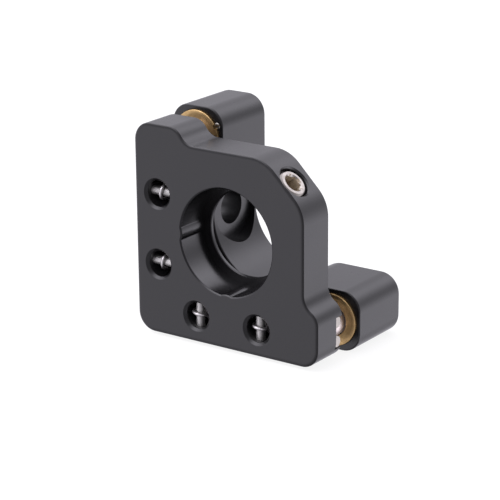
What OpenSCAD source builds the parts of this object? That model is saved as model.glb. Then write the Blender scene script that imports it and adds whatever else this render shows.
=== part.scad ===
// Kinematic mirror mount for a half-inch optic, two fine adjusters with
// hex-socket drive. Millimetres. Origin: centre of the optic pocket at the
// front face. +X right, +Y back, +Z up.

/* [Optic pocket] */
// Diameter of the circle that touches both contact ribs
pocket_d = 12.8; // [12.7:0.05:12.9]
// Diameter of the pocket wall between the ribs
bore_d = 13.2; // [13:0.1:13.6]
// Radius of the two contact ribs
rib_r = 1.9; // [1.2:0.1:2.4]
// Depth of the pocket from the front face
pocket_depth = 4.7; // [4.2:0.1:4.8]
// Diameter of the clear aperture through the lip
aperture_d = 10.95; // [9.5:0.05:11.2]

/* [Front plate] */
// Optic axis to the left and bottom edges
plate_lo = 13.2; // [13.1:0.05:13.4]
// Optic axis to the outer edges of the two ears
plate_hi = 13; // [12.9:0.05:13.1]
// Optic axis to the lower top and right edges
plate_step = 11.03; // [10.8:0.01:11.2]
// Thickness of the front plate
plate_t = 5.27; // [5.2:0.01:5.5]
// Where each ear starts to fall away
ear_full = -8.09; // [-8.3:0.01:-7.9]
// Where each ear has reached the lower edge
ear_low = -4.52; // [-4.8:0.01:-4.3]
// Distance from the optic axis to the 45 degree face
slant_dist = 11.773; // [11.6:0.001:11.9]
// Blend radius at each end of the 45 degree face
slant_blend = 4.5; // [3:0.1:5.5]
// Corner radius of the front plate
plate_corner = 2.3; // [1.5:0.1:2.8]

/* [Back plate] */
// Optic axis to each outer side of the back plate
back_half = 13.63; // [13.5:0.01:13.8]
// Front face of the back plate
back_y0 = 8.15; // [8:0.05:8.4]
// Rear face of the back plate
back_y1 = 17.3; // [16.9:0.01:17.4]
// Inner edge of both arms
arm_in = -6.08; // [-6.2:0.01:-6]
// Corner radius of the back plate
back_corner = 2.5; // [2:0.1:3]
// Radius of the round clearance around the beam
beam_r = 7.6; // [7.5:0.05:7.7]
// Blend where the clearance runs into an arm
beam_blend = 3; // [2:0.1:3.4]
// Diameter of the post screw hole in the left arm
post_hole_d = 4.4; // [4.3:0.1:4.5]
// Diameter of the spot face for the post screw head
post_head_d = 8.4; // [8:0.1:8.4]
// Optic axis to the floor of the spot face
post_floor = 8.25; // [8.1:0.01:8.26]
// Depth position of the post holes
post_y = 12.75; // [12.5:0.05:12.9]
// Diameter of the tapped hole in the bottom arm
tapped_d = 3.4; // [3.3:0.05:3.5]
// Depth of the tapped hole
tapped_deep = 5.5; // [4.5:0.5:6]

/* [Kinematics] */
// Optic axis to each adjuster axis and to the pivot
adj = 9.87; // [9.8:0.01:9.95]
// Depth of the plane through all three ball centres
ball_y = 7.06; // [7:0.01:7.1]
// Radius of the ball tips
tip_r = 1.95; // [1.9:0.05:2]
// Radius of the pivot ball
pivot_r = 2.38; // [2.3:0.01:2.4]
// Radius of the two vee pins
vee_r = 0.72; // [0.68:0.01:0.74]
// Half of the distance between the vee pins
vee_half = 1.22; // [1.18:0.01:1.24]
// Length of the vee pins
vee_len = 5.4; // [5:0.1:5.5]
// Half angle of the two pivot cones
cone_half = 55; // [52:1:58]

/* [Adjusters] */
// Outer radius of the threaded bushings
bush_r = 3.24; // [3.2:0.01:3.35]
// How far a bushing stands out of the back plate
bush_proud = 0.35; // [0.2:0.05:0.5]
// Radius of the adjusting screws
screw_r = 1.98; // [1.9:0.01:2.1]
// Radial clearance of the adjusting thread
thread_gap = 0.03; // [0.02:0.01:0.06]
// Rear end of the adjusting screws
screw_end = 18.4; // [18:0.1:19]
// Hex key size, across flats
hex_af = 2; // [1.5:0.5:2.5]

/* [Springs] */
// Offset of the spring holes along each edge
spring_pitch = 4.4; // [4.3:0.05:4.5]
// Optic axis to the line of the spring holes
spring_line = 9.95; // [9.92:0.01:10]
// Diameter of the spring holes in the front plate
spring_hole_d = 3.24; // [3.2:0.02:3.4]
// Flare at the mouth of each spring hole
spring_flare = 0.33; // [0.2:0.01:0.4]
// Diameter of the spring holes in the back plate
spring_back_d = 3.1; // [3:0.1:3.1]
// Outer diameter of a spring
spring_d = 2.7; // [2.5:0.1:2.8]
// Wire diameter of a spring
wire_d = 0.4; // [0.35:0.05:0.4]
// Diameter of the spring cross pins
pin_d = 1.1; // [1:0.05:1.2]
// Depth of the front cross pins
pin_front_y = 1.5; // [1.3:0.05:1.6]
// Offset of the bottom row's front pins from their hole centres
pin_shift = -0.43; // [-0.5:0.01:0]
// Depth of the rear cross pins
pin_back_y = 15.4; // [15.3:0.05:15.5]

/* [Retaining screw] */
// Depth of the retaining screw axis
ret_y = 2.25; // [2.2:0.05:2.6]
// Radius of the retaining screw
ret_r = 1.95; // [1.9:0.05:1.95]
// Length of the retaining screw
ret_len = 4; // [3.5:0.5:4]
// How far the screw sits below the 45 degree face
ret_sink = 0.2; // [0:0.05:0.4]

/* [Hidden] */
$fn = 96;

e = 1;
black = [0.16, 0.16, 0.17];
steel = [0.72, 0.71, 0.70];
ear_mid = (ear_full + ear_low) / 2;
edge_mid = (plate_hi + plate_step) / 2;
ear_r = (pow(ear_low - ear_full, 2) + pow(plate_hi - plate_step, 2))
    / (4 * (plate_hi - plate_step));
slant_at = slant_dist * sqrt(2) - plate_step;
slant_tan = slant_blend * tan(22.5);
vee_y = ball_y - sqrt(pow(tip_r + vee_r + 0.01, 2) - pow(vee_half, 2));
vee_x1 = plate_hi - 0.3;
pad_face = ball_y - tip_r - 0.01;
cone_drop = (pivot_r + 0.01) / sin(cone_half);
bush_y0 = back_y0 - bush_proud;
bush_y1 = back_y1 - 0.07;
blend_x = sqrt(pow(beam_r + beam_blend, 2) - pow(beam_blend - arm_in, 2));
blend_k = beam_r / (beam_r + beam_blend);
key_d = 0.85;
key_at = 3.4;
ret_out = slant_dist - ret_sink;
ret_in = ret_out - ret_len;
tip_in = pocket_d / 2 + 0.05;

// Cylinder along +Y with its axis at x, z
module rod_y(x, z, y0, y1, r) {
    translate([x, y0, z]) rotate([-90, 0, 0]) cylinder(h = y1 - y0, r = r);
}

// Cone along +Y, radius ra at y0 and rb at y1
module cone_y(x, z, y0, y1, ra, rb) {
    translate([x, y0, z]) rotate([-90, 0, 0])
        cylinder(h = y1 - y0, r1 = ra, r2 = rb);
}

module rod_x(y, z, x0, x1, r) {
    translate([x0, y, z]) rotate([0, 90, 0]) cylinder(h = x1 - x0, r = r);
}

module rod_z(x, y, z0, z1, r) {
    translate([x, y, z0]) cylinder(h = z1 - z0, r = r);
}

// Rod with a small cone at both ends, for ground pins
module pin_x(y, z, x0, x1, r, c) {
    translate([x0, y, z]) rotate([0, 90, 0]) rotate_extrude()
        polygon([[0, 0], [r - c, 0], [r, c], [r, x1 - x0 - c],
            [r - c, x1 - x0], [0, x1 - x0]]);
}

module pin_z(x, y, z0, z1, r, c) {
    translate([x, y, z0]) rotate_extrude()
        polygon([[0, 0], [r - c, 0], [r, c], [r, z1 - z0 - c],
            [r - c, z1 - z0], [0, z1 - z0]]);
}

// Outline in X and Z, made into a plate from y0 to y1
module slab(y0, y1) {
    translate([0, y1, 0]) rotate([90, 0, 0])
        linear_extrude(height = y1 - y0) children();
}

// Work along the 45 degree line from the optic axis, +Z outwards
module along_slant() {
    translate([0, ret_y, 0]) rotate([0, 45, 0]) children();
}

module dot(x, y, r) { translate([x, y]) circle(r = r); }

module front_outline() {
    difference() {
        union() {
            polygon([
                [-plate_lo + plate_corner, -plate_lo],
                [plate_hi - plate_corner, -plate_lo],
                [plate_hi, -plate_lo + plate_corner],
                [plate_hi, ear_full], [edge_mid, ear_mid],
                [plate_step, ear_low], [plate_step, slant_at - slant_tan],
                [plate_step - slant_tan / sqrt(2),
                    slant_at + slant_tan / sqrt(2)],
                [slant_at + slant_tan / sqrt(2),
                    plate_step - slant_tan / sqrt(2)],
                [slant_at - slant_tan, plate_step], [ear_low, plate_step],
                [ear_mid, edge_mid], [ear_full, plate_hi],
                [-plate_lo + plate_corner, plate_hi],
                [-plate_lo, plate_hi - plate_corner],
                [-plate_lo, -plate_lo + plate_corner]]);
            dot(-plate_lo + plate_corner, -plate_lo + plate_corner,
                plate_corner);
            dot(plate_hi - plate_corner, -plate_lo + plate_corner,
                plate_corner);
            dot(-plate_lo + plate_corner, plate_hi - plate_corner,
                plate_corner);
            dot(plate_hi - ear_r, ear_full, ear_r);
            dot(ear_full, plate_hi - ear_r, ear_r);
            dot(plate_step - slant_blend, slant_at - slant_tan, slant_blend);
            dot(slant_at - slant_tan, plate_step - slant_blend, slant_blend);
        }
        dot(plate_step + ear_r, ear_low, ear_r);
        dot(ear_low, plate_step + ear_r, ear_r);
    }
}

module back_outline() {
    b = back_half;
    c = back_corner;
    a = arm_in;
    difference() {
        union() {
            polygon([[-b + c, -b], [b - c, -b], [b, -b + c], [b, a - c],
                [b - c, a], [blend_x, a],
                [blend_x * blend_k, (a - beam_blend) * blend_k], [0, 0],
                [(a - beam_blend) * blend_k, blend_x * blend_k],
                [a, blend_x], [a, b - c], [a - c, b], [-b + c, b],
                [-b, b - c], [-b, -b + c]]);
            dot(-b + c, -b + c, c);
            dot(b - c, -b + c, c);
            dot(b - c, a - c, c);
            dot(-b + c, b - c, c);
            dot(a - c, b - c, c);
            dot(blend_x, a - beam_blend, beam_blend);
            dot(a - beam_blend, blend_x, beam_blend);
        }
        circle(r = beam_r);
    }
}

module front_plate() {
    color(black) difference() {
        slab(0, plate_t) front_outline();
        slab(-e, pocket_depth) difference() {
            circle(d = bore_d);
            dot(-pocket_d / 2 - rib_r, 0, rib_r);
            dot(0, -pocket_d / 2 - rib_r, rib_r);
        }
        rod_y(0, 0, -e, plate_t + e, aperture_d / 2);
        for (s = [-1, 1]) {
            rod_y(-spring_line, s * spring_pitch, -e, plate_t + e,
                spring_hole_d / 2);
            rod_y(s * spring_pitch, -spring_line, -e, plate_t + e,
                spring_hole_d / 2);
            cone_y(-spring_line, s * spring_pitch, 0, spring_flare,
                spring_hole_d / 2 + spring_flare, spring_hole_d / 2);
            cone_y(s * spring_pitch, -spring_line, 0, spring_flare,
                spring_hole_d / 2 + spring_flare, spring_hole_d / 2);
            rod_x(pin_front_y, s * spring_pitch, -plate_lo - e, -7.2,
                pin_d / 2);
            rod_z(s * spring_pitch + pin_shift, pin_front_y, -plate_lo - e,
                -7.2, pin_d / 2);
        }
        along_slant() {
            rotate([0, 0, 0]) translate([0, 0, pocket_d / 2 - 2])
                cylinder(h = 9, r = ret_r + 0.03);
            translate([0, 0, slant_dist - 0.2])
                cylinder(h = 0.2 + e, r1 = ret_r + 0.03,
                    r2 = ret_r + 0.03 + 0.2 + e);
        }
        // open-sided pocket for the vee pins
        translate([vee_x1 - vee_len - 0.05, vee_y - vee_r,
                -adj - vee_half - vee_r - 0.05])
            cube([vee_len + e, plate_t, 2 * (vee_half + vee_r + 0.05)]);
        rod_y(-adj, adj, 3.9, plate_t + e, 2.5);
        rod_y(-adj, -adj, 3.2, plate_t + e, 2.5);
    }
}

module back_plate() {
    color(black) difference() {
        slab(back_y0, back_y1) back_outline();
        rod_y(adj, -adj, back_y0 - e, back_y1 + e, bush_r);
        rod_y(-adj, adj, back_y0 - e, back_y1 + e, bush_r);
        rod_y(-adj, -adj, back_y0 - e, 11, 3);
        for (s = [-1, 1]) {
            rod_y(-spring_line, s * spring_pitch, back_y0 - e, back_y1 + e,
                spring_back_d / 2);
            rod_y(s * spring_pitch, -spring_line, back_y0 - e, back_y1 + e,
                spring_back_d / 2);
            rod_x(pin_back_y, s * spring_pitch, -back_half - e, -7.2,
                pin_d / 2);
            rod_z(s * spring_pitch, pin_back_y, -back_half - e, -7.2,
                pin_d / 2);
        }
        rod_x(post_y, 0, -back_half - e, 0, post_hole_d / 2);
        rod_x(post_y, 0, -post_floor, 0, post_head_d / 2);
        rod_z(0, post_y, -back_half - e, tapped_deep - back_half,
            tapped_d / 2);
        key_hole(-adj, adj, 28);
        key_hole(adj, -adj, 205);
    }
}

module key_hole(x, z, a) {
    rod_y(x + key_at * cos(a), z + key_at * sin(a), back_y0 - e, 12,
        key_d / 2);
}

module key(x, z, a) {
    kx = x + key_at * cos(a);
    kz = z + key_at * sin(a);
    difference() {
        rod_y(kx, kz, back_y0 - 0.15, 12, key_d / 2 - 0.005);
        translate([kx, back_y0 - 0.2, kz]) rotate([0, -20, 0])
            cube([2, 0.6, 0.26], center = true);
    }
}

module bushing(x, z, a) {
    difference() {
        translate([x, bush_y0, z]) rotate([-90, 0, 0]) rotate_extrude()
            polygon([[screw_r + thread_gap + 0.15, 0], [bush_r - 0.15, 0],
                [bush_r - 0.005, 0.15], [bush_r - 0.005, bush_y1 - bush_y0],
                [screw_r + thread_gap, bush_y1 - bush_y0],
                [screw_r + thread_gap, 0.15]]);
        rod_y(x + key_at * cos(a), z + key_at * sin(a), bush_y0 - e, 12,
            key_d / 2);
    }
}

module hex_hole(depth) {
    cylinder(h = depth, r = hex_af / 2 / cos(30), $fn = 6);
}

module adjusting_screw(x, z) {
    difference() {
        translate([x, 8, z]) rotate([-90, 0, 0]) rotate_extrude()
            polygon([[0, 0], [screw_r - 0.1, 0], [screw_r, 0.1],
                [screw_r, screw_end - 8 - 0.3],
                [screw_r - 0.3, screw_end - 8], [0, screw_end - 8]]);
        translate([x, ball_y, z]) sphere(r = tip_r + 0.02);
        translate([x, screw_end - 3, z]) rotate([-90, 0, 0])
            hex_hole(3 + e);
        cone_y(x, z, screw_end - 0.2, screw_end + 0.2, hex_af / 2,
            hex_af / 2 + 0.45);
    }
}

module ball(x, z, r) { translate([x, ball_y, z]) sphere(r = r); }

module yaw_bushing() { color([0.72, 0.57, 0.33]) bushing(adj, -adj, 205); }
module pitch_bushing() { color([0.72, 0.57, 0.33]) bushing(-adj, adj, 28); }
module yaw_screw() { color(steel) adjusting_screw(adj, -adj); }
module pitch_screw() { color(steel) adjusting_screw(-adj, adj); }
module yaw_ball_tip() { color([0.6, 0.6, 0.6]) ball(adj, -adj, tip_r); }
module pitch_ball_tip() { color([0.6, 0.6, 0.6]) ball(-adj, adj, tip_r); }
module pivot_ball() { color([0.6, 0.6, 0.6]) ball(-adj, -adj, pivot_r); }

module front_pivot_seat() {
    apex = ball_y - cone_drop;
    color(steel) difference() {
        rod_y(-adj, -adj, 3.2, plate_t, 2.495);
        cone_y(-adj, -adj, apex, plate_t + e, 0,
            (plate_t + e - apex) * tan(cone_half));
    }
}

module back_pivot_seat() {
    apex = ball_y + cone_drop;
    color(steel) difference() {
        rod_y(-adj, -adj, back_y0, 11, 2.995);
        cone_y(-adj, -adj, back_y0 - e, apex,
            (apex - back_y0 + e) * tan(cone_half), 0);
    }
}

module vee_pin_upper() {
    color(steel) pin_x(vee_y, -adj + vee_half, vee_x1 - vee_len, vee_x1,
        vee_r, 0.1);
}
module vee_pin_lower() {
    color(steel) pin_x(vee_y, -adj - vee_half, vee_x1 - vee_len, vee_x1,
        vee_r, 0.1);
}

module flat_pad() {
    color(steel) translate([-adj, 3.9, adj]) rotate([-90, 0, 0])
        rotate_extrude() polygon([[0, 0], [2.495, 0],
            [2.495, pad_face - 3.9 - 0.2], [2.295, pad_face - 3.9],
            [0, pad_face - 3.9]]);
}

// Half ring of wire, opening towards +Z, lying in the local X-Z plane
module hook(dirn) {
    ring = 0.9;
    rotate([0, 0, dirn > 0 ? 0 : 180]) rotate_extrude(angle = 180)
        translate([ring, 0]) circle(d = wire_d);
}

// Closed coil with a hook at both ends; turn = 0 puts the hooks in the
// Y-Z plane, turn = 90 in the X-Y plane; the front hook stands off by shift
module spring(x, z, turn, shift) {
    y0 = 2.9;
    y1 = 13.9;
    fy = pin_front_y - pin_d / 2 + 0.7;
    by = pin_back_y + pin_d / 2 - 0.7;
    color(steel) translate([x, 0, z]) rotate([0, turn, 0]) union() {
        difference() {
            rod_y(0, 0, y0, y1, spring_d / 2);
            rod_y(0, 0, y0 - e, y1 + e, spring_d / 2 - wire_d - 0.15);
        }
        for (s = [-1, 1]) {
            rod_y(0, shift + s * 0.9, fy, y0 + 0.3, wire_d / 2);
            rod_y(0, s * 0.9, y1 - 0.3, by, wire_d / 2);
        }
        translate([0, fy, shift]) rotate([0, 90, 0]) hook(-1);
        translate([0, by, 0]) rotate([0, 90, 0]) hook(1);
    }
}

module spring_left_upper() spring(-spring_line, spring_pitch, 0, 0);
module spring_left_lower() spring(-spring_line, -spring_pitch, 0, 0);
module spring_bottom_left() spring(-spring_pitch, -spring_line, 90, pin_shift);
module spring_bottom_right() spring(spring_pitch, -spring_line, 90, pin_shift);

module left_pin(y, z, outer) {
    color(steel) pin_x(y, z, -outer + 0.3, -7.25, pin_d / 2 - 0.005, 0.08);
}
module bottom_pin(x, y, outer) {
    color(steel) pin_z(x, y, -outer + 0.3, -7.25, pin_d / 2 - 0.005, 0.08);
}
module front_pin_left_upper() left_pin(pin_front_y, spring_pitch, plate_lo);
module front_pin_left_lower() left_pin(pin_front_y, -spring_pitch, plate_lo);
module front_pin_bottom_left()
    bottom_pin(-spring_pitch + pin_shift, pin_front_y, plate_lo);
module front_pin_bottom_right()
    bottom_pin(spring_pitch + pin_shift, pin_front_y, plate_lo);
module back_pin_left_upper() left_pin(pin_back_y, spring_pitch, back_half);
module back_pin_left_lower() left_pin(pin_back_y, -spring_pitch, back_half);
module back_pin_bottom_left()
    bottom_pin(-spring_pitch, pin_back_y, back_half);
module back_pin_bottom_right()
    bottom_pin(spring_pitch, pin_back_y, back_half);

module retaining_screw() {
    color(steel) along_slant() difference() {
        translate([0, 0, ret_in]) rotate_extrude()
            polygon([[0, 0], [ret_r - 0.2, 0], [ret_r, 0.2],
                [ret_r, ret_len - 0.2], [ret_r - 0.2, ret_len],
                [0, ret_len]]);
        translate([0, 0, ret_in - e]) cylinder(h = 1 + e, r = 1.25);
        translate([0, 0, ret_out - 1.8]) hex_hole(1.8 + e);
        translate([0, 0, ret_out - 0.15])
            cylinder(h = 0.4, r1 = hex_af / 2, r2 = hex_af / 2 + 0.6);
    }
}

module retaining_tip() {
    color([0.9, 0.89, 0.84]) along_slant()
        translate([0, 0, tip_in]) rotate_extrude()
            polygon([[0, 0], [1, 0], [1.2, 0.2], [1.2, ret_in + 0.97 - tip_in],
                [0, ret_in + 0.97 - tip_in]]);
}

module pitch_bushing_key() { color(steel) key(-adj, adj, 28); }
module yaw_bushing_key() { color(steel) key(adj, -adj, 205); }

front_plate();
back_plate();
yaw_bushing();
pitch_bushing();
yaw_screw();
pitch_screw();
yaw_ball_tip();
pitch_ball_tip();
pivot_ball();
front_pivot_seat();
back_pivot_seat();
vee_pin_upper();
vee_pin_lower();
flat_pad();
spring_left_upper();
spring_left_lower();
spring_bottom_left();
spring_bottom_right();
front_pin_left_upper();
front_pin_left_lower();
front_pin_bottom_left();
front_pin_bottom_right();
back_pin_left_upper();
back_pin_left_lower();
back_pin_bottom_left();
back_pin_bottom_right();
retaining_screw();
retaining_tip();
pitch_bushing_key();
yaw_bushing_key();
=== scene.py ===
"""Looks of the kinematic mirror mount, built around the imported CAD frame.

Every piece is built here in millimetres, in the CAD's own axes (origin in the
centre of the optic pocket at the front face, +X right, +Y back, +Z up), and is
scaled to metres when it is done.
"""

import math

import bmesh
import bpy
from mathutils import Matrix, Vector

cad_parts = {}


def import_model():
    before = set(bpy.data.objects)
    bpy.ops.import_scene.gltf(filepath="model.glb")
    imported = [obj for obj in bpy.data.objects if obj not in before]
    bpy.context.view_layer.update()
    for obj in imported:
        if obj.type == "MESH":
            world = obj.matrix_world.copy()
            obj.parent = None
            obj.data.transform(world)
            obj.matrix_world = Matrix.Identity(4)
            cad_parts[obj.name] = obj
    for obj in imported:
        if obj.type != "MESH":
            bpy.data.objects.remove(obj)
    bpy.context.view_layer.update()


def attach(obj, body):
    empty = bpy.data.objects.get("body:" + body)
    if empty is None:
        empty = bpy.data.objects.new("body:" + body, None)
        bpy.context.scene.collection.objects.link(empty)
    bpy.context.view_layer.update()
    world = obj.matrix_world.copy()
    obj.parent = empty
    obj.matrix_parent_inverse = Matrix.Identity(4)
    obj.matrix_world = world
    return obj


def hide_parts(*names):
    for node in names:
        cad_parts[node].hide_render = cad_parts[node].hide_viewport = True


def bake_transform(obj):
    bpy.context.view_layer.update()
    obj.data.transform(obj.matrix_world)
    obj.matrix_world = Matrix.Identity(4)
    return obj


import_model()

# ---------------------------------------------------------------- dimensions
PLATE_LO, PLATE_HI, PLATE_STEP, PLATE_T = 13.2, 13.0, 11.03, 5.27
EAR_FULL, EAR_LOW = -8.09, -4.52
EAR_R = ((EAR_LOW - EAR_FULL) ** 2 + (PLATE_HI - PLATE_STEP) ** 2) / (4 * (PLATE_HI - PLATE_STEP))
EAR_A = math.degrees(math.acos(1 - (PLATE_HI - PLATE_STEP) / (2 * EAR_R)))
SLANT, SLANT_R, CORNER = 11.773, 4.5, 2.3
SLANT_AT = SLANT * math.sqrt(2) - PLATE_STEP
SLANT_TAN = SLANT_R * math.tan(math.radians(22.5))
POCKET_D, APERTURE_R, BORE_R, RIB_TOP, RIB_R = 4.7, 5.475, 6.6, 6.4, 1.9
HALF, Y0, Y1, ARM, BCORNER = 13.63, 8.15, 17.3, -6.08, 2.5
BEAM_R, BEAM_B = 7.6, 3.0
BLEND_X = math.sqrt((BEAM_R + BEAM_B) ** 2 - (BEAM_B - ARM) ** 2)
ADJ, BALL_Y, TIP_R, PIVOT_R = 9.87, 7.06, 1.95, 2.38
VEE_R, VEE_HALF, VEE_X0, VEE_X1 = 0.72, 1.22, 7.3, 12.7
VEE_Y = BALL_Y - math.sqrt((TIP_R + VEE_R + 0.01) ** 2 - VEE_HALF ** 2)
SPRING_LINE, SPRING_AT = 9.95, 4.4
PIN_R, PIN_F, PIN_B, PIN_SHIFT = 0.545, 1.5, 15.4, -0.43
BUSH_R, SCREW_R = 3.24, 1.98
POST_Y = 12.75
RET_Y = 2.25
KEYS = ((-ADJ, ADJ, 28.0), (ADJ, -ADJ, 205.0))
SEG = 96


# ------------------------------------------------------------- mesh building
def made(name, verts, faces):
    me = bpy.data.meshes.new(name)
    me.from_pydata([tuple(v) for v in verts], [], faces)
    me.update()
    bm = bmesh.new()
    bm.from_mesh(me)
    bmesh.ops.recalc_face_normals(bm, faces=bm.faces)
    bm.to_mesh(me)
    bm.free()
    o = bpy.data.objects.new(name, me)
    bpy.context.scene.collection.objects.link(o)
    return o


def skin(name, rings):
    """Closed skin over rings of equal length, a cap at both ends."""
    n = len(rings[0])
    verts = [p for r in rings for p in r]
    faces = []
    for i in range(len(rings) - 1):
        for j in range(n):
            k = (j + 1) % n
            faces.append((i * n + j, i * n + k, (i + 1) * n + k, (i + 1) * n + j))
    last = (len(rings) - 1) * n
    faces.append(tuple(range(n - 1, -1, -1)))
    faces.append(tuple(last + j for j in range(n)))
    return made(name, verts, faces)


def basis(axis):
    a = Vector(axis).normalized()
    ref = Vector((1, 0, 0)) if abs(a.x) < 0.9 else Vector((0, 0, 1))
    u = (ref - a * ref.dot(a)).normalized()
    return a, u, a.cross(u)


def rev(name, origin, axis, profile, seg=SEG, spin=0.0):
    """Turned solid: profile is (distance along the axis, radius) from end to end."""
    a, u, v = basis(axis)
    o = Vector(origin)
    verts, faces, rows = [], [], []
    for s, r in profile:
        if r <= 1e-9:
            rows.append([len(verts)])
            verts.append(o + a * s)
        else:
            rows.append(list(range(len(verts), len(verts) + seg)))
            for i in range(seg):
                t = 2 * math.pi * i / seg + spin
                verts.append(o + a * s + u * (r * math.cos(t)) + v * (r * math.sin(t)))
    for p, q in zip(rows, rows[1:]):
        if len(p) == 1 and len(q) == 1:
            continue
        for i in range(seg):
            k = (i + 1) % seg
            if len(p) == 1:
                faces.append((p[0], q[k], q[i]))
            elif len(q) == 1:
                faces.append((p[i], p[k], q[0]))
            else:
                faces.append((p[i], p[k], q[k], q[i]))
    if len(rows[0]) > 1:
        faces.append(tuple(reversed(rows[0])))
    if len(rows[-1]) > 1:
        faces.append(tuple(rows[-1]))
    return made(name, verts, faces)


def turned_ring(name, origin, axis, profile, seg=SEG):
    """Turned ring: profile is a closed loop of (distance along the axis, radius)."""
    a, u, v = basis(axis)
    o = Vector(origin)
    n = len(profile)
    verts, faces = [], []
    for i in range(seg):
        t = 2 * math.pi * i / seg
        for s, r in profile:
            verts.append(o + a * s + u * (r * math.cos(t)) + v * (r * math.sin(t)))
    for i in range(seg):
        k = (i + 1) % seg
        for j in range(n):
            m = (j + 1) % n
            faces.append((i * n + j, i * n + m, k * n + m, k * n + j))
    return made(name, verts, faces)


def arc(cx, cz, r, a0, a1, n):
    return [(cx + r * math.cos(math.radians(a0 + (a1 - a0) * i / n)),
             cz + r * math.sin(math.radians(a0 + (a1 - a0) * i / n))) for i in range(n + 1)]


def front_loop(d):
    """Outline of the front plate, set in by d. Convex arcs shrink, hollow ones grow."""
    lo, hi, st, c, e = PLATE_LO, PLATE_HI, PLATE_STEP, CORNER, EAR_R
    return (arc(-lo + c, -lo + c, c - d, 180, 270, 14)
            + arc(hi - c, -lo + c, c - d, 270, 360, 14)
            + arc(hi - e, EAR_FULL, e - d, 0, EAR_A, 10)
            + arc(st + e, EAR_LOW, e + d, 180 + EAR_A, 180, 10)[1:]
            + arc(st - SLANT_R, SLANT_AT - SLANT_TAN, SLANT_R - d, 0, 45, 12)
            + arc(SLANT_AT - SLANT_TAN, st - SLANT_R, SLANT_R - d, 45, 90, 12)
            + arc(EAR_LOW, st + e, e + d, 270, 270 - EAR_A, 10)
            + arc(EAR_FULL, hi - e, e - d, 90 - EAR_A, 90, 10)[1:]
            + arc(-lo + c, hi - c, c - d, 90, 180, 14))


def back_loop(d):
    b, c, a = HALF, BCORNER, ARM
    t = math.degrees(math.atan2(BEAM_B - a, BLEND_X))
    return (arc(-b + c, -b + c, c - d, 180, 270, 14)
            + arc(b - c, -b + c, c - d, 270, 360, 14)
            + arc(b - c, a - c, c - d, 0, 90, 14)
            + arc(BLEND_X, a - BEAM_B, BEAM_B - d, 90, 180 - t, 8)
            + arc(0, 0, BEAM_R + d, -t, t - 270, 60)[1:-1]
            + arc(a - BEAM_B, BLEND_X, BEAM_B - d, t - 90, 0, 8)
            + arc(a - c, b - c, c - d, 0, 90, 14)
            + arc(-b + c, b - c, c - d, 90, 180, 14))


def slab(name, loop, y0, y1, r0, r1, n=6, d0=None):
    """Plate from y0 to y1 with rounded edges, r0 wide and d0 deep in front and of radius r1 behind."""
    rings = []
    d0 = r0 if d0 is None else d0
    for k in range(n + 1):
        t = math.pi / 2 * k / n
        rings.append([(x, y0 + d0 * (1 - math.cos(t)), z) for x, z in loop(r0 * (1 - math.sin(t)))])
    for k in range(n + 1):
        t = math.pi / 2 * k / n
        rings.append([(x, y1 - r1 * (1 - math.sin(t)), z) for x, z in loop(r1 * (1 - math.cos(t)))])
    return skin(name, rings)


def bore(r, s0, s1, f0=0.0, f1=0.0, out=0.6, n=3):
    """Profile of a hole from face s0 to face s1, with rounded mouths of size f0 and f1."""
    rows = []
    if f0:
        rows.append((s0 - out, r + f0))
        for k in range(n + 1):
            t = math.pi / 2 * k / n
            rows.append((s0 + f0 * (1 - math.cos(t)), r + f0 * (1 - math.sin(t))))
    else:
        rows.append((s0 - out, r))
    if f1:
        for k in range(n, -1, -1):
            t = math.pi / 2 * k / n
            rows.append((s1 - f1 * (1 - math.cos(t)), r + f1 * (1 - math.sin(t))))
        rows.append((s1 + out, r + f1))
    else:
        rows.append((s1 + out, r))
    return rows


def blind(r, s0, s1, f0=0.0, out=0.6, n=3, drill=0.0):
    """Profile of a blind hole from face s0 to its floor at s1, with a drill point if asked."""
    rows = []
    if f0:
        rows.append((s0 - out, r + f0))
        for k in range(n + 1):
            t = math.pi / 2 * k / n
            rows.append((s0 + f0 * (1 - math.cos(t)), r + f0 * (1 - math.sin(t))))
    else:
        rows.append((s0 - out, r))
    rows.append((s1, r))
    if drill:
        rows.append((s1 + drill, 0.0))
    return rows


def block(name, x0, x1, y0, y1, z0, z1, r=0.0):
    """Block along X, with its edges along X rounded by r."""
    pts = []
    if r:
        for cy, cz, a in ((y1 - r, z1 - r, 0), (y0 + r, z1 - r, 90), (y0 + r, z0 + r, 180), (y1 - r, z0 + r, 270)):
            pts += arc(cy, cz, r, a, a + 90, 4)
    else:
        pts = [(y1, z1), (y0, z1), (y0, z0), (y1, z0)]
    return skin(name, [[(x0, y, z) for y, z in pts], [(x1, y, z) for y, z in pts]])


def hexagon(name, origin, axis, af, s0, s1, turn=0.0, drill=0.35):
    """Hex socket cutter with a shallow drill point at its inner end s1."""
    a, u, v = basis(axis)
    o = Vector(origin)
    r = af / 2 / math.cos(math.radians(30))
    rings = []
    for s, k in ((s0, 1.0), (s1, 1.0)):
        rings.append([o + a * s + (u * math.cos(math.radians(60 * i + turn)) + v * math.sin(math.radians(60 * i + turn))) * r * k
                      for i in range(6)])
    verts = rings[0] + rings[1] + [o + a * (s1 + (drill if s1 > s0 else -drill))]
    faces = [tuple(range(5, -1, -1))]
    for i in range(6):
        k = (i + 1) % 6
        faces.append((i, k, 6 + k, 6 + i))
        faces.append((6 + i, 6 + k, 12))
    return made(name, verts, faces)


def baked(o):
    dg = bpy.context.evaluated_depsgraph_get()
    me = bpy.data.meshes.new_from_object(o.evaluated_get(dg))
    old = o.data
    o.modifiers.clear()
    o.data = me
    bpy.data.meshes.remove(old)


def cut(o, *cutters):
    for c in cutters:
        m = o.modifiers.new("cut", "BOOLEAN")
        m.operation = "DIFFERENCE"
        m.solver = "EXACT"
        m.object = c
    baked(o)
    for c in cutters:
        me = c.data
        bpy.data.objects.remove(c)
        bpy.data.meshes.remove(me)
    return o


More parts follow.
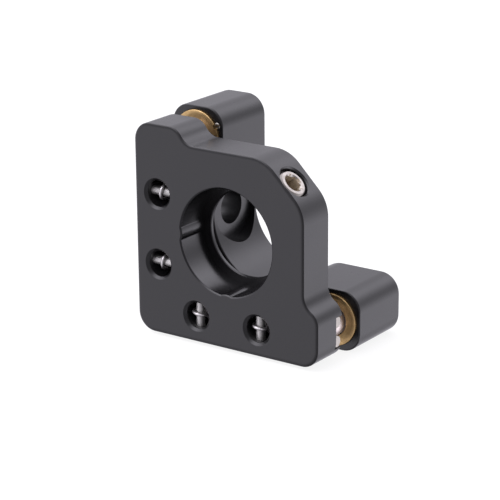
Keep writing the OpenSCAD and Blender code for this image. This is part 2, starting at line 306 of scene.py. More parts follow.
def joined(name, *parts):
    """One mesh from several closed shells."""
    bm = bmesh.new()
    for p in parts:
        bm.from_mesh(p.data)
    me = bpy.data.meshes.new(name)
    bm.to_mesh(me)
    bm.free()
    for p in parts:
        old = p.data
        bpy.data.objects.remove(p)
        bpy.data.meshes.remove(old)
    o = bpy.data.objects.new(name, me)
    bpy.context.scene.collection.objects.link(o)
    return o


def finish_piece(o, mats, nodes, body=None, angle=30.0, weighted=True, pick=None):
    """Smooth shading with crisp edges, metres, materials; hides the CAD parts it stands for and, given a body, hangs
    it on that body.
    """
    me = o.data
    bm = bmesh.new()
    bm.from_mesh(me)
    bmesh.ops.remove_doubles(bm, verts=bm.verts, dist=2e-4)
    bmesh.ops.dissolve_degenerate(bm, edges=bm.edges, dist=2e-4)
    lim = math.radians(angle)
    for f in bm.faces:
        f.smooth = True
        f.material_index = pick(f) if pick else 0
    for e in bm.edges:
        e.smooth = len(e.link_faces) == 2 and e.calc_face_angle(0.0) < lim
    me.materials.clear()
    for m in mats:
        me.materials.append(m)
    bm.to_mesh(me)
    bm.free()
    if weighted:
        m = o.modifiers.new("normals", "WEIGHTED_NORMAL")
        m.mode = "FACE_AREA_WITH_ANGLE"
        m.weight = 50
        m.keep_sharp = True
        baked(o)
    o.data.transform(Matrix.Scale(0.001, 4))
    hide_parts(*nodes)
    if body:
        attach(o, body)
    return o


# ------------------------------------------------------------------ materials
def graph(name):
    m = bpy.data.materials.new(name)
    m.use_nodes = True
    nt = m.node_tree
    return m, nt, nt.nodes["Principled BSDF"]


def add(nt, kind, **values):
    n = nt.nodes.new(kind)
    for k, v in values.items():
        if k in n.inputs:
            n.inputs[k].default_value = v
        else:
            setattr(n, k, v)
    return n


def coords(nt, at=(0, 0, 0), turn=(0, 0, 0)):
    """Object coordinates in millimetres, counted from a point and turned."""
    tc = add(nt, "ShaderNodeTexCoord")
    mp = add(nt, "ShaderNodeMapping", vector_type="TEXTURE")
    mp.inputs["Location"].default_value = [x / 1000 for x in at]
    mp.inputs["Rotation"].default_value = [math.radians(x) for x in turn]
    mp.inputs["Scale"].default_value = (0.001, 0.001, 0.001)
    nt.links.new(tc.outputs["Object"], mp.inputs["Vector"])
    return mp.outputs["Vector"]


def noise(nt, vec, scale, detail=2.0, rough=0.5):
    n = add(nt, "ShaderNodeTexNoise", Scale=scale, Detail=detail, Roughness=rough)
    nt.links.new(vec, n.inputs["Vector"])
    return n.outputs["Fac"]


def span(nt, fac, lo, hi, a=0.3, b=0.7):
    n = add(nt, "ShaderNodeMapRange")
    n.inputs["From Min"].default_value = a
    n.inputs["From Max"].default_value = b
    n.inputs["To Min"].default_value = lo
    n.inputs["To Max"].default_value = hi
    nt.links.new(fac, n.inputs["Value"])
    return n.outputs["Result"]


def blend_rgb(nt, fac, a, b):
    n = add(nt, "ShaderNodeMix", data_type="RGBA")
    n.inputs[6].default_value = (*a, 1)
    n.inputs[7].default_value = (*b, 1)
    nt.links.new(fac, n.inputs[0])
    return n.outputs[2]


def math_node(nt, op, a, b=None):
    n = add(nt, "ShaderNodeMath", operation=op)
    for i, v in enumerate((a, b)):
        if v is None:
            continue
        if isinstance(v, (int, float)):
            n.inputs[i].default_value = v
        else:
            nt.links.new(v, n.inputs[i])
    return n.outputs[0]


def bump(nt, height, dist_mm, strength=1.0):
    n = add(nt, "ShaderNodeBump", Strength=strength, Distance=dist_mm / 1000)
    nt.links.new(height, n.inputs["Height"])
    return n.outputs["Normal"]


def anodised(name="Black_anodised", base=0.006, tint=(1.0, 0.97, 1.06), rough=0.30):
    """Bead-blasted and black anodised aluminium: satin, with a very fine even grain."""
    m, nt, b = graph(name)
    v = coords(nt)
    broad = noise(nt, v, 0.22, 3.0)
    fine = noise(nt, v, 9.0, 3.0, 0.6)
    grain = noise(nt, v, 24.0, 2.0, 0.7)
    lo = [base * 0.86 * t for t in tint]
    hi = [base * 1.16 * t for t in tint]
    nt.links.new(blend_rgb(nt, span(nt, broad, 0, 1), lo, hi), b.inputs["Base Color"])
    r = math_node(nt, "ADD", span(nt, broad, rough - 0.02, rough + 0.02), span(nt, fine, -0.02, 0.02))
    nt.links.new(r, b.inputs["Roughness"])
    h = math_node(nt, "ADD", math_node(nt, "MULTIPLY", fine, 0.6), math_node(nt, "MULTIPLY", grain, 0.4))
    nt.links.new(bump(nt, h, 0.004, 0.8), b.inputs["Normal"])
    b.inputs["IOR"].default_value = 1.5
    return m


def turned(name, colour, dark, rough, at, axis="Y", pitch=0.11, depth=0.0025, turn=(0, 0, 0)):
    """Metal turned on a lathe: fine rings around its axis and a little tarnish."""
    m, nt, b = graph(name)
    v = coords(nt, at, turn)
    w = add(nt, "ShaderNodeTexWave", wave_type="RINGS", rings_direction=axis, wave_profile="SIN",
            Scale=2 * math.pi / (20 * pitch), Distortion=1.2, Detail=1.0)
    w.inputs["Detail Scale"].default_value = 0.6
    nt.links.new(v, w.inputs["Vector"])
    spots = noise(nt, v, 1.3, 4.0, 0.6)
    fine = noise(nt, v, 14.0, 2.0)
    mixer = math_node(nt, "ADD", math_node(nt, "MULTIPLY", span(nt, spots, 0, 1), 0.7), math_node(nt, "MULTIPLY", w.outputs["Fac"], 0.3))
    nt.links.new(blend_rgb(nt, mixer, dark, colour), b.inputs["Base Color"])
    nt.links.new(math_node(nt, "ADD", span(nt, spots, rough + 0.05, rough - 0.03), span(nt, fine, -0.02, 0.02)), b.inputs["Roughness"])
    h = math_node(nt, "ADD", w.outputs["Fac"], math_node(nt, "MULTIPLY", fine, 0.25))
    nt.links.new(bump(nt, h, depth, 0.7), b.inputs["Normal"])
    b.inputs["Metallic"].default_value = 1.0
    return m


def ground(name, colour, dark, rough, at=(0, 0, 0), stretch=(1, 1, 1), grain=9.0, depth=0.0015):
    """Ground or drawn steel: fine scratches drawn out along the piece."""
    m, nt, b = graph(name)
    tc = add(nt, "ShaderNodeTexCoord")
    mp = add(nt, "ShaderNodeMapping", vector_type="TEXTURE")
    mp.inputs["Location"].default_value = [x / 1000 for x in at]
    mp.inputs["Scale"].default_value = [0.001 * s for s in stretch]
    nt.links.new(tc.outputs["Object"], mp.inputs["Vector"])
    v = mp.outputs["Vector"]
    lines = noise(nt, v, grain, 3.0, 0.6)
    spots = noise(nt, v, 1.1, 3.0)
    nt.links.new(blend_rgb(nt, span(nt, spots, 0, 1), dark, colour), b.inputs["Base Color"])
    nt.links.new(span(nt, lines, rough - 0.05, rough + 0.07), b.inputs["Roughness"])
    nt.links.new(bump(nt, lines, depth, 0.6), b.inputs["Normal"])
    b.inputs["Metallic"].default_value = 1.0
    return m


def polymer(name, colour, dark, rough):
    m, nt, b = graph(name)
    v = coords(nt)
    spots = noise(nt, v, 2.0, 3.0)
    fine = noise(nt, v, 18.0, 2.0)
    nt.links.new(blend_rgb(nt, span(nt, spots, 0, 1), dark, colour), b.inputs["Base Color"])
    nt.links.new(span(nt, fine, rough - 0.05, rough + 0.05), b.inputs["Roughness"])
    nt.links.new(bump(nt, fine, 0.004, 0.6), b.inputs["Normal"])
    b.inputs["IOR"].default_value = 1.53
    b.inputs["Subsurface Weight"].default_value = 0.15
    b.inputs["Subsurface Radius"].default_value = (0.0006, 0.0005, 0.0004)
    return m


BLACK = anodised()
BORED = anodised("Black_anodised_bored", rough=0.23)
# Lit and shaded copies of one brass: k paints light on the yaw bushing (x1.16) and paints shade on the pitch bushing
# (x0.93).
BRASS_PAINTED_LIGHT = {s: turned("Brass_turned_painted_light_" + s, (0.70 * k, 0.485 * k, 0.225 * k), (0.46 * k, 0.31 * k, 0.14 * k), 0.43, (x, 0, z), pitch=0.13, depth=0.004)
         for s, x, z, k in (("yaw", ADJ, -ADJ, 1.16), ("pitch", -ADJ, ADJ, 0.93))}
SCREW = {s: turned("Screw_steel_" + s, (0.60, 0.56, 0.54), (0.42, 0.38, 0.36), 0.28, (x, 0, z), pitch=0.1)
         for s, x, z in (("yaw", ADJ, -ADJ), ("pitch", -ADJ, ADJ))}
SOCKET = polymer("Socket_oxide", (0.47, 0.39, 0.28), (0.23, 0.18, 0.115), 0.30)
RING = turned("Set_screw_steel", (0.41, 0.385, 0.355), (0.26, 0.24, 0.22), 0.27, (0, RET_Y, 0), axis="Z", pitch=0.12, turn=(0, 45, 0))
BALL = ground("Ball_polished", (0.60, 0.54, 0.52), (0.52, 0.465, 0.445), 0.48, grain=5.0, depth=0.0004)
VEE = ground("Ground_steel_vee", (0.42, 0.395, 0.36), (0.34, 0.32, 0.29), 0.36, stretch=(8, 1, 1))
PIN_X = ground("Ground_steel_x", (0.66, 0.65, 0.63), (0.54, 0.53, 0.51), 0.54, stretch=(8, 1, 1))
PIN_Z = ground("Ground_steel_z", (0.66, 0.65, 0.63), (0.54, 0.53, 0.51), 0.54, stretch=(1, 1, 8))
KEY = ground("Ground_steel_y", (0.34, 0.325, 0.295), (0.26, 0.245, 0.22), 0.42, stretch=(1, 8, 1))
SEAT = ground("Hardened_steel", (0.34, 0.33, 0.315), (0.26, 0.25, 0.24), 0.34, stretch=(1, 1, 1), grain=6.0)
WIRE = ground("Spring_wire", (0.78, 0.76, 0.75), (0.62, 0.60, 0.59), 0.38, stretch=(2, 2, 2), grain=12.0)
NYLON = polymer("Nylon_natural", (0.80, 0.77, 0.70), (0.68, 0.65, 0.58), 0.45)


# ---------------------------------------------------------------- front plate
def pocket_ring(y, extra):
    """Section of the optic pocket: a round wall with two raised contact ribs, let out by extra."""
    turns = [i * 2.0 for i in range(180)]
    for c in (180, 270):
        turns = [t for t in turns if abs(t - c) > 9] + [c - 9 + 0.6 * i for i in range(31)]
    away = RIB_TOP + RIB_R
    pts = []
    for t in sorted(turns):
        r = BORE_R + extra
        for c in (180, 270):
            d = math.radians(t - c)
            under = (RIB_R - extra) ** 2 - (away * math.sin(d)) ** 2
            if abs(t - c) < 15 and under > 0:
                r = min(r, away * math.cos(d) - math.sqrt(under))
        pts.append((r * math.cos(math.radians(t)), y, r * math.sin(math.radians(t))))
    return pts


def front_plate():
    o = slab("Front_plate", front_loop, 0.0, PLATE_T, 0.5, 0.12, 9, 0.2)
    rows = [pocket_ring(y, extra) for y, extra in (
        (-0.6, 0.19), (0.0, 0.19), (0.008, 0.165), (0.03, 0.135), (0.13, 0.02), (0.16, 0.004), (0.2, 0.0), (POCKET_D, 0.0))]
    cutters = [skin("c", rows)]
    cutters.append(rev("c", (0, 0, 0), (0, 1, 0), [(4.3, APERTURE_R + 0.09), (4.7, APERTURE_R + 0.09), (4.79, APERTURE_R),
                                                   (5.15, APERTURE_R), (5.27, APERTURE_R + 0.12), (5.9, APERTURE_R + 0.12)], 160))
    for s in (-1, 1):
        for x, z in ((-SPRING_LINE, s * SPRING_AT), (s * SPRING_AT, -SPRING_LINE)):
            cutters.append(rev("c", (x, 0, z), (0, 1, 0), [
                (-0.6, 2.0), (0.0, 2.0), (0.012, 1.965), (0.04, 1.925), (0.30, 1.665), (0.34, 1.635), (0.40, 1.62),
                (PLATE_T - 0.12, 1.62), (PLATE_T - 0.03, 1.655), (PLATE_T, 1.74), (PLATE_T + 0.6, 1.74)], 72))
        cutters.append(rev("c", (0, PIN_F, s * SPRING_AT), (1, 0, 0), blind(0.55, -PLATE_LO, -7.2, 0.08), 32))
        cutters.append(rev("c", (s * SPRING_AT + PIN_SHIFT, PIN_F, 0), (0, 0, 1), blind(0.55, -PLATE_LO, -7.2, 0.08), 32))
    cutters.append(rev("c", (0, RET_Y, 0), (1, 0, 1), [(4.4, 1.98), (SLANT - 0.2, 1.98), (SLANT - 0.05, 2.1), (SLANT + 0.7, 2.85)], 72))
    z0, z1 = -ADJ - VEE_HALF - VEE_R - 0.05, -ADJ + VEE_HALF + VEE_R + 0.05
    cutters.append(block("c", VEE_X0 - 0.05, PLATE_HI + 1, VEE_Y - VEE_R, PLATE_T + 0.9, z0, z1))
    cutters.append(rev("c", (-ADJ, 0, ADJ), (0, -1, 0), blind(2.5, -PLATE_T, -3.9, 0.12), 72))
    cutters.append(rev("c", (-ADJ, 0, -ADJ), (0, -1, 0), blind(2.5, -PLATE_T, -3.2, 0.12), 72))
    cut(o, *cutters)

    def pick(f):
        c = f.calc_center_median()
        return 1 if math.hypot(c.x, c.z) < 6.85 and 0.02 < c.y < 5.2 else 0

    return finish_piece(o, [BLACK, BORED], ["front_plate"], "front", pick=pick)


# ----------------------------------------------------------------- back plate
def back_plate():
    o = slab("Back_plate", back_loop, Y0, Y1, 0.2, 0.42, 8)
    cutters = []
    for x, z, a in KEYS:
        cutters.append(rev("c", (x, 0, z), (0, 1, 0), bore(BUSH_R + 0.005, Y0, Y1, 0.1, 0.2), SEG))
        kx, kz = x + 3.4 * math.cos(math.radians(a)), z + 3.4 * math.sin(math.radians(a))
        cutters.append(rev("c", (kx, 0, kz), (0, 1, 0), blind(0.425, Y0, 12.0), 32))
    cutters.append(rev("c", (-ADJ, 0, -ADJ), (0, 1, 0), blind(3.0, Y0, 11.0, 0.12), 72))
    for s in (-1, 1):
        for x, z in ((-SPRING_LINE, s * SPRING_AT), (s * SPRING_AT, -SPRING_LINE)):
            cutters.append(rev("c", (x, 0, z), (0, 1, 0), bore(1.55, Y0, Y1, 0.12, 0.2), 64))
        cutters.append(rev("c", (0, PIN_B, s * SPRING_AT), (1, 0, 0), blind(0.55, -HALF, -7.2, 0.08), 32))
        cutters.append(rev("c", (s * SPRING_AT, PIN_B, 0), (0, 0, 1), blind(0.55, -HALF, -7.2, 0.08), 32))
    cutters.append(rev("c", (0, POST_Y, 0), (1, 0, 0), bore(2.2, -HALF, -6.0, 0.3, 0.0), 72))
    cutters.append(rev("c", (0, POST_Y, 0), (1, 0, 0), [(-8.25, 4.2), (0.0, 4.2)], SEG))
    rows = [(-HALF - 0.6, 2.05), (-HALF, 2.05), (-HALF + 0.4, 1.68)]
    for k in range(6):
        rows += [(-HALF + 0.62 + 0.7 * k, 1.95), (-HALF + 0.72 + 0.7 * k, 1.95), (-HALF + 0.98 + 0.7 * k, 1.68), (-HALF + 1.06 + 0.7 * k, 1.68)]
    rows += [(-HALF + 5.3, 1.65), (-HALF + 5.5, 1.45), (-HALF + 5.5, 0.0)]
    cutters.append(rev("c", (0, POST_Y, 0), (0, 0, 1), rows, 64))
    cut(o, *cutters)
    return finish_piece(o, [BLACK], ["back_plate"], "back")


# ------------------------------------------------------------ adjusters, tips
def bushing(name, side, x, z, a):
    r, k = BUSH_R - 0.005, SCREW_R + 0.03
    o = turned_ring(name, (x, 0, z), (0, 1, 0), [
        (8.0, k), (7.83, k), (7.808, k + 0.01), (7.80, k + 0.035), (7.80, 2.72), (7.806, 2.84), (7.822, 2.97), (7.845, 3.08),
        (7.865, r - 0.07), (7.885, r - 0.03), (7.92, r), (8.2, r), (17.03, r), (17.17, r - 0.05),
        (17.23, r - 0.14), (17.23, k + 0.18), (17.17, k + 0.06), (17.09, k)])
    kx, kz = x + 3.4 * math.cos(math.radians(a)), z + 3.4 * math.sin(math.radians(a))
    cut(o, rev("c", (kx, 0, kz), (0, 1, 0), [(7.0, 0.425), (12.0, 0.425)], 32))
    return finish_piece(o, [BRASS_PAINTED_LIGHT[side]], [side + "_bushing"], "back")


def adjusting_screw(name, side, x, z):
    """Fine-thread screw: helical thread on both visible ends, ball cup, hex socket."""
    seg, pitch, depth, R = 64, 0.25, 0.085, SCREW_R
    step = pitch / 6
    n = int(round((18.4 - 8.0) / step))
    o, u, v = Vector((x, 0, z)), Vector((1, 0, 0)), Vector((0, 0, 1))
    verts, faces = [], []
    ys = [8.0 + step * i for i in range(n + 1)]
    ys = [y for y in ys if y < 9.3 or y > 16.2]
    ys[-1] = 18.4
    for y in ys:
        lead_in = min(1.0, (y - 8.0) / 0.22, (18.4 - y) / 0.32)
        top = R - 0.28 * (1 - lead_in) if y > 12 else R - 0.11 * (1 - lead_in)
        for i in range(seg):
            t = 2 * math.pi * i / seg
            ph = (y / pitch - i / seg) % 1.0
            tri = abs(2 * ph - 1)
            cutin = depth * max(0.0, min(1.0, (tri - 0.12) / 0.76))
            r = min(top, R - cutin)
            if 9.2 < y < 16.3:
                r = R - 0.07
            verts.append(o + Vector((0, y, 0)) + u * (r * math.cos(t)) + v * (r * math.sin(t)))
    m = len(ys)
    for k in range(m - 1):
        for i in range(seg):
            j = (i + 1) % seg
            faces.append((k * seg + i, k * seg + j, (k + 1) * seg + j, (k + 1) * seg + i))
    faces.append(tuple(range(seg)))
    faces.append(tuple((m - 1) * seg + i for i in range(seg - 1, -1, -1)))
    s = made(name, verts, faces)
    sphere = []
    for k in range(25):
        t = math.pi * k / 24
        sphere.append((BALL_Y - 1.97 * math.cos(t), 1.97 * math.sin(t) if 0 < k < 24 else 0.0))
    cut(s, rev("c", (x, 0, z), (0, 1, 0), sphere, 64),
        hexagon("c", (x, 0, z), (0, 1, 0), 2.0, 19.0, 15.4, drill=0.5),
        rev("c", (x, 0, z), (0, 1, 0), [(18.2, 0.98), (18.22, 1.0), (18.4, 1.22), (18.8, 1.7)], 48))

    def pick(f):
        c = f.calc_center_median()
        return 1 if c.y > 14.9 and math.hypot(c.x - x, c.z - z) < 1.13 and c.y < 18.19 else 0

    return finish_piece(s, [SCREW[side], SOCKET], [side + "_screw"], side + "_driver", pick=pick, angle=38)


def ball(name, node, body, x, z, r, neck=False):
    """Hardened ball; with neck set, it also gets the small ring where the screw's cup grips it."""
    rows = []
    n = 40
    for k in range(n + 1):
        t = math.pi * k / n
        rr = r * math.sin(t) if 0 < k < n else 0.0
        y = BALL_Y - r * math.cos(t)
        if neck and 0 < k < n and 0.52 < math.cos(math.pi - t) < 0.56:
            rr -= 0.02
        rows.append((y, rr))
    o = rev(name, (x, 0, z), (0, 1, 0), rows, 80)
    return finish_piece(o, [BALL], [node], body, weighted=False, angle=60)


def seat(name, node, body, y_face, y_floor, r):
    """Hardened seat pressed in flush, with its conical socket."""
    s = -1 if y_face < y_floor else 1
    a = math.radians(55)
    apex = BALL_Y + (-s) * (PIVOT_R + 0.01) / math.sin(a)
    face_r = abs(y_face - apex) * math.tan(a)
    rows = [(y_floor, 0.0), (y_floor, r - 0.15), (y_floor + s * 0.15, r), (y_face - s * 0.1, r), (y_face, r - 0.1),
            (y_face, face_r + 0.06), (y_face - s * 0.05, face_r - 0.02), (apex + s * 0.45, 0.45 * math.tan(a)),
            (apex + s * 0.25, 0.3), (apex - s * 0.05, 0.3), (apex - s * 0.15, 0.0)]
    if y_face < y_floor and apex > y_floor - 0.3 or y_face > y_floor and apex < y_floor + 0.3:
        rows = rows[:8]
        rows[-1] = (y_floor + s * 0.3, abs(y_floor + s * 0.3 - apex) * math.tan(a))
        rows.append((y_floor + s * 0.3, 0.0))
    o = rev(name, (-ADJ, 0, -ADJ), (0, 1, 0), rows, 72)
    return finish_piece(o, [SEAT], [node], body)


def pin(name, node, body, origin, axis, s0, s1, r, mat, dome=0.12, groove=False):
    """Ground pin with rounded ends."""
    rows = [(s0, 0.0), (s0, r - dome)]
    for k in range(1, 5):
        t = math.pi / 2 * k / 4
        rows.append((s0 + dome * (1 - math.cos(t)), r - dome * (1 - math.sin(t))))
    n = max(2, int((s1 - s0) / 1.5))
    for k in range(1, n):
        rows.append((s0 + (s1 - s0) * k / n, r))
    for k in range(4, 0, -1):
        t = math.pi / 2 * k / 4
        rows.append((s1 - dome * (1 - math.cos(t)), r - dome * (1 - math.sin(t))))
    rows += [(s1, r - dome), (s1, 0.0)]
    o = rev(name, origin, axis, rows, 40)
    return finish_piece(o, [mat], [node], body)


def key(name, node, x, z, a):
    """Locking pin beside a bushing, with a driver slot across its end."""
    kx, kz = x + 3.4 * math.cos(math.radians(a)), z + 3.4 * math.sin(math.radians(a))
    o = rev(name, (kx, 0, kz), (0, 1, 0), [(8.0, 0.0), (8.0, 0.27), (8.008, 0.32), (8.03, 0.365), (8.07, 0.4), (8.13, 0.415), (8.2, 0.42),
                                           (8.28, 0.42), (11.9, 0.42), (12.0, 0.32), (12.0, 0.0)], 40)
    t = math.radians(20)
    u, v = Vector((math.cos(t), 0, math.sin(t))), Vector((-math.sin(t), 0, math.cos(t)))
    c = Vector((kx, 0, kz))
    loop = [(-1, -0.12), (1, -0.12), (1, 0.12), (-1, 0.12)]
    slot_cut = skin("c", [[c + Vector((0, y, 0)) + u * p + v * q for p, q in loop] for y in (7.5, 8.45)])
    cut(o, slot_cut)
    return finish_piece(o, [KEY], [node], "back")


# -------------------------------------------------------------- retaining set
def retaining_screw():
    """M4 set screw along the 45 degree line, thread, hex socket and chamfered mouth."""
    a, u, v = basis((1, 0, 1))
    o = Vector((0, RET_Y, 0))
    seg, pitch, depth, R = 64, 0.7, 0.36, 1.95
    s0, s1 = 7.573, 11.573
    step = pitch / 12
    n = int(round((s1 - s0) / step))
    verts, faces = [], []
    for k in range(n + 1):
        s = s0 + (s1 - s0) * k / n
        lead = min(1.0, (s - s0) / 0.38)
        top = min(R - 0.38 * (1 - lead), R - 0.41 * (1 - min(1.0, (s1 - s) / 0.24)))
        for i in range(seg):
            t = 2 * math.pi * i / seg
            ph = (s / pitch - i / seg) % 1.0
            tri = abs(2 * ph - 1)
            r = min(top, R - depth * max(0.0, min(1.0, (tri - 0.125) / 0.75)))
            verts.append(o + a * s + u * (r * math.cos(t)) + v * (r * math.sin(t)))
    for k in range(n):
        for i in range(seg):
            j = (i + 1) % seg
            faces.append((k * seg + i, k * seg + j, (k + 1) * seg + j, (k + 1) * seg + i))
    faces.append(tuple(range(seg)))
    faces.append(tuple(n * seg + i for i in range(seg - 1, -1, -1)))
    w = made("Retaining_screw", verts, faces)
    cut(w, hexagon("c", o, a, 2.0, 12.2, s1 - 1.8, turn=0.0, drill=0.4),
        rev("c", o, a, [(s1 - 0.26, 0.98), (s1, 1.24), (s1 + 0.5, 1.74)], 48),
        rev("c", o, a, [(7.0, 1.205), (8.55, 1.205)], 48))

    def pick(f):
        c = f.calc_center_median() - o
        s = c.dot(a)
        return 1 if s > 8.8 and s < s1 - 0.1 and (c - a * s).length < 1.17 else 0

    return finish_piece(w, [RING, SOCKET], ["retaining_screw"], "clamp_driver", pick=pick, angle=38)


def retaining_tip():
    a, _, _ = basis((1, 0, 1))
    rows = [(6.45, 0.0), (6.45, 0.85), (6.5, 1.02), (6.62, 1.14), (6.8, 1.2), (8.5, 1.2), (8.543, 1.16), (8.543, 0.0)]
    o = rev("Retaining_tip", (0, RET_Y, 0), a, rows, 56)
    return finish_piece(o, [NYLON], ["retaining_tip"], "clamp_tip")


# -------------------------------------------------------------------- springs
def tube(name, pts, r, sides=12):
    """Round wire along a path, both ends closed with a small round nose."""
    n = len(pts)
    tan = []
    for i in range(n):
        a, b = pts[max(i - 1, 0)], pts[min(i + 1, n - 1)]
        tan.append((b - a).normalized())
    nrm = tan[0].orthogonal().normalized()
    rings = []

    def ring(p, t, k, rad):
        s = t.cross(k)
        return [p + (k * math.cos(2 * math.pi * j / sides) + s * math.sin(2 * math.pi * j / sides)) * rad for j in range(sides)]

    for i in range(n):
        nrm = (nrm - tan[i] * nrm.dot(tan[i])).normalized()
        if i == 0:
            rings.append(ring(pts[0] - tan[0] * (r * 0.28), tan[0], nrm, r * 0.55))
            rings.append(ring(pts[0] - tan[0] * (r * 0.2), tan[0], nrm, r * 0.85))
        rings.append(ring(pts[i], tan[i], nrm, r))
        if i == n - 1:
            rings.append(ring(pts[i] + tan[i] * (r * 0.2), tan[i], nrm, r * 0.85))
            rings.append(ring(pts[i] + tan[i] * (r * 0.28), tan[i], nrm, r * 0.55))
    return skin(name, rings)


def spring(label, node, x, z, left, shift=0.0):
    """Close-wound extension spring with a hook over each cross pin, in two halves."""
    ew = Vector((0, 0, 1)) if left else Vector((1, 0, 0))
    ep = Vector((1, 0, 0)) if left else Vector((0, 0, 1))
    base = Vector((x, 0, z))

    def at(w, p, y):
        return base + ew * w + ep * p + Vector((0, y, 0))

    pitch, mid, hook = 0.41, 1.15, 0.93
    lean = math.radians(9 if left else -9)
    cl, sl = math.cos(lean), math.sin(lean)

    def eye(w, y):
        return at(shift + w * cl, w * sl, y)

    y0, turns = 2.75, 27
    pts = [eye(-hook, 2.62), eye(-hook, 2.3), eye(-hook, 2.0)]
    for k in range(25):
        t = math.pi * k / 24
        pts.append(eye(-hook * math.cos(t), 1.65 - hook * math.sin(t)))
    pts += [eye(hook, 2.0), eye(hook, 2.3), eye(hook + 0.01, 2.55)]
    per = 28
    for k in range(turns * per + 1):
        t = 2 * math.pi * k / per
        near, far = (min(1.0, v / (per * 0.35)) for v in (k, turns * per - k))
        near, far = near * near * (3 - 2 * near), far * far * (3 - 2 * far)
        rho = hook + (mid - hook) * min(near, far)
        turn = t + lean * (1 - near)
        pts.append(at(shift * (1 - near) + rho * math.cos(turn), rho * math.sin(turn), y0 + pitch * k / per))
    y2 = y0 + pitch * turns
    pts += [at(hook, 0, y2 + 0.22), at(hook, 0, y2 + 0.6), at(hook, 0, 14.9)]
    for k in range(25):
        t = math.pi * k / 24
        pts.append(at(hook * math.cos(t), 0, 15.25 + hook * math.sin(t)))
    pts += [at(-hook, 0, 14.9), at(-hook, 0, 14.5), at(-hook, 0, 14.1)]
    split = next(i for i, p in enumerate(pts) if i > 40 and p.y > 8.36)
    front = tube(label + "_front", pts[:split + 1], 0.2)
    rear = tube(label + "_rear", pts[split:], 0.2)
    for o in (front, rear):
        finish_piece(o, [WIRE], [node], None, weighted=False, angle=50)
    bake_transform(rear)
    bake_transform(front)


# --------------------------------------------------------------------- build
front_plate()
back_plate()
bushing("Pitch_bushing", "pitch", *KEYS[0])
bushing("Yaw_bushing", "yaw", *KEYS[1])
key("Pitch_key", "pitch_bushing_key", *KEYS[0])
key("Yaw_key", "yaw_bushing_key", *KEYS[1])
adjusting_screw("Pitch_screw", "pitch", -ADJ, ADJ)
adjusting_screw("Yaw_screw", "yaw", ADJ, -ADJ)
ball("Pitch_tip", "pitch_ball_tip", "pitch_tip", -ADJ, ADJ, TIP_R)
ball("Yaw_tip", "yaw_ball_tip", "yaw_tip", ADJ, -ADJ, TIP_R)
ball("Pivot_ball", "pivot_ball", "pivot", -ADJ, -ADJ, PIVOT_R)
seat("Pivot_cone_front", "front_pivot_seat", "front", PLATE_T, 3.2, 2.495)
seat("Pivot_cone_back", "back_pivot_seat", "back", Y0, 11.0, 2.995)
pin("Vee_pin_upper", "vee_pin_upper", "front", (0, VEE_Y, -ADJ + VEE_HALF), (1, 0, 0), VEE_X0, VEE_X1, VEE_R, VEE, 0.1)
pin("Vee_pin_lower", "vee_pin_lower", "front", (0, VEE_Y, -ADJ - VEE_HALF), (1, 0, 0), VEE_X0, VEE_X1, VEE_R, VEE, 0.1)
pin("Flat_pad", "flat_pad", "front", (-ADJ, 0, ADJ), (0, 1, 0), 3.9, 5.1, 2.495, SEAT, 0.15)
for name, s in (("upper", 1), ("lower", -1)):
    pin("Front_pin_left_" + name, "front_pin_left_" + name, "front", (0, PIN_F, s * SPRING_AT), (1, 0, 0), -12.9, -7.25, PIN_R, PIN_X)
    pin("Back_pin_left_" + name, "back_pin_left_" + name, "back", (0, PIN_B, s * SPRING_AT), (1, 0, 0), -13.33, -7.25, PIN_R, PIN_X)
    spring("Spring_left_" + name, "spring_left_" + name, -SPRING_LINE, s * SPRING_AT, True)
for name, s in (("left", -1), ("right", 1)):
    pin("Front_pin_bottom_" + name, "front_pin_bottom_" + name, "front", (s * SPRING_AT + PIN_SHIFT, PIN_F, 0), (0, 0, 1), -12.9, -7.25, PIN_R, PIN_Z)
    pin("Back_pin_bottom_" + name, "back_pin_bottom_" + name, "back", (s * SPRING_AT, PIN_B, 0), (0, 0, 1), -13.33, -7.25, PIN_R, PIN_Z)
    spring("Spring_bottom_" + name, "spring_bottom_" + name, s * SPRING_AT, -SPRING_LINE, False, PIN_SHIFT)
retaining_screw()
retaining_tip()


# -------------------------------------------------------------- floor, lights
def floor():
    me = bpy.data.meshes.new("Floor")
    s, z = 1.6, -HALF / 1000
    me.from_pydata([(-s, -s, z), (s, -s, z), (s, s, z), (-s, s, z)], [], [(0, 1, 2, 3)])
    o = bpy.data.objects.new("Floor", me)
    bpy.context.scene.collection.objects.link(o)
    m, nt, b = graph("Pale_floor")
    v = coords(nt)
    n = noise(nt, v, 0.02, 2.0)
    nt.links.new(blend_rgb(nt, n, (0.16, 0.16, 0.16), (0.18, 0.18, 0.18)), b.inputs["Base Color"])
    b.inputs["Roughness"].default_value = 1.0
    b.inputs["Specular IOR Level"].default_value = 0.0
    b.inputs["Emission Color"].default_value = (1, 1, 1, 1)
    b.inputs["Emission Strength"].default_value = 0.87
    me.materials.append(m)
    o.visible_diffuse = False
    o.visible_glossy = False


floor()


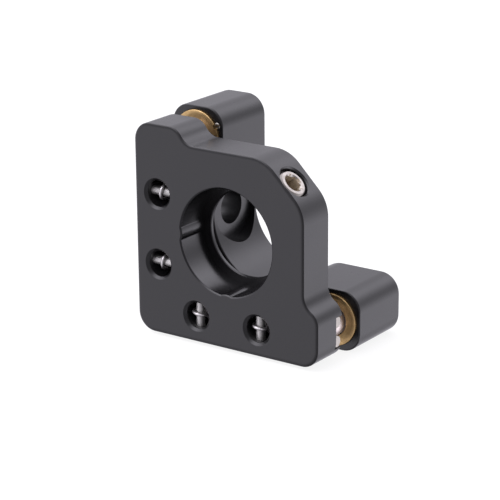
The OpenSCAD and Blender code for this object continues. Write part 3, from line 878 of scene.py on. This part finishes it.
def world():
    """White studio all round, dimmer on the camera's side: a base level and soft lobes of light."""
    w = bpy.data.worlds.new("Studio")
    bpy.context.scene.world = w
    w.use_nodes = True
    nt = w.node_tree
    bg = nt.nodes["Background"]
    tc = nt.nodes.new("ShaderNodeTexCoord")
    total = None
    base = 0.456
    lobes = (
        # direction, strength, sharpness
        ((-0.263, -0.523, 0.811), 3.19, 7.4),
        ((0.236, 0.752, 0.615), 2.17, 13.0),
        ((0.847, 0.232, -0.478), 3.48, 12.4),
        ((0.564, 0.795, -0.223), 1.26, 14.0),
        ((-0.452, -0.889, -0.073), 1.96, 13.9),
        ((-0.597, 0.201, 0.777), 2.44, 5.4),
        ((-0.950, -0.100, -0.300), 0.90, 6.0),
        ((-0.250, 0.930, -0.300), 0.80, 10.0),
        # darker patches, above and behind the camera
        ((0.224, -0.460, 0.859), -0.70, 15.2),
        ((-0.436, -0.889, 0.136), -1.50, 19.4),
    )
    for d, k, p in lobes:
        dv = Vector(d).normalized()
        dot = nt.nodes.new("ShaderNodeVectorMath")
        dot.operation = "DOT_PRODUCT"
        nt.links.new(tc.outputs["Generated"], dot.inputs[0])
        dot.inputs[1].default_value = dv
        pos = math_node(nt, "MAXIMUM", dot.outputs["Value"], 0.0)
        lobe = math_node(nt, "MULTIPLY", math_node(nt, "POWER", pos, p), k)
        total = lobe if total is None else math_node(nt, "ADD", total, lobe)
    total = math_node(nt, "ADD", total, base)
    comb = nt.nodes.new("ShaderNodeCombineColor")
    nt.links.new(total, comb.inputs[0])
    nt.links.new(math_node(nt, "MULTIPLY", total, 0.975), comb.inputs[1])
    nt.links.new(math_node(nt, "MULTIPLY", total, 1.07), comb.inputs[2])
    nt.links.new(comb.outputs[0], bg.inputs["Color"])
    bg.inputs["Strength"].default_value = 1.0


world()


# -------------------------------------------------------------------- camera
def camera():
    az, el, roll = math.radians(35.28498), math.radians(17.90243), math.radians(-0.46438)
    dist, ox, oy, f = 240.85645, -0.55631, -2.00815, 2003.7010
    target = Vector((-0.7, 7.0, -0.7))
    back = Vector((math.sin(az) * math.cos(el), -math.cos(az) * math.cos(el), math.sin(el)))
    right = Vector((math.cos(az), math.sin(az), 0))
    up = back.cross(right)
    at = target + back * dist + right * ox + up * oy
    x = right * math.cos(roll) + up * math.sin(roll)
    y = up * math.cos(roll) - right * math.sin(roll)
    cam = bpy.data.cameras.new("Camera")
    cam.sensor_width = 36.0
    cam.lens = f * 36.0 / 500.0
    cam.clip_start, cam.clip_end = 0.01, 10.0
    o = bpy.data.objects.new("Camera", cam)
    bpy.context.scene.collection.objects.link(o)
    m = Matrix.Identity(4)
    for i, c in enumerate((x, y, back, at / 1000)):
        for j in range(3):
            m[j][i] = c[j]
    o.matrix_world = m
    bpy.context.scene.camera = o


camera()
bpy.context.scene.view_settings.view_transform = "Standard"
bpy.context.scene.view_settings.look = "None"
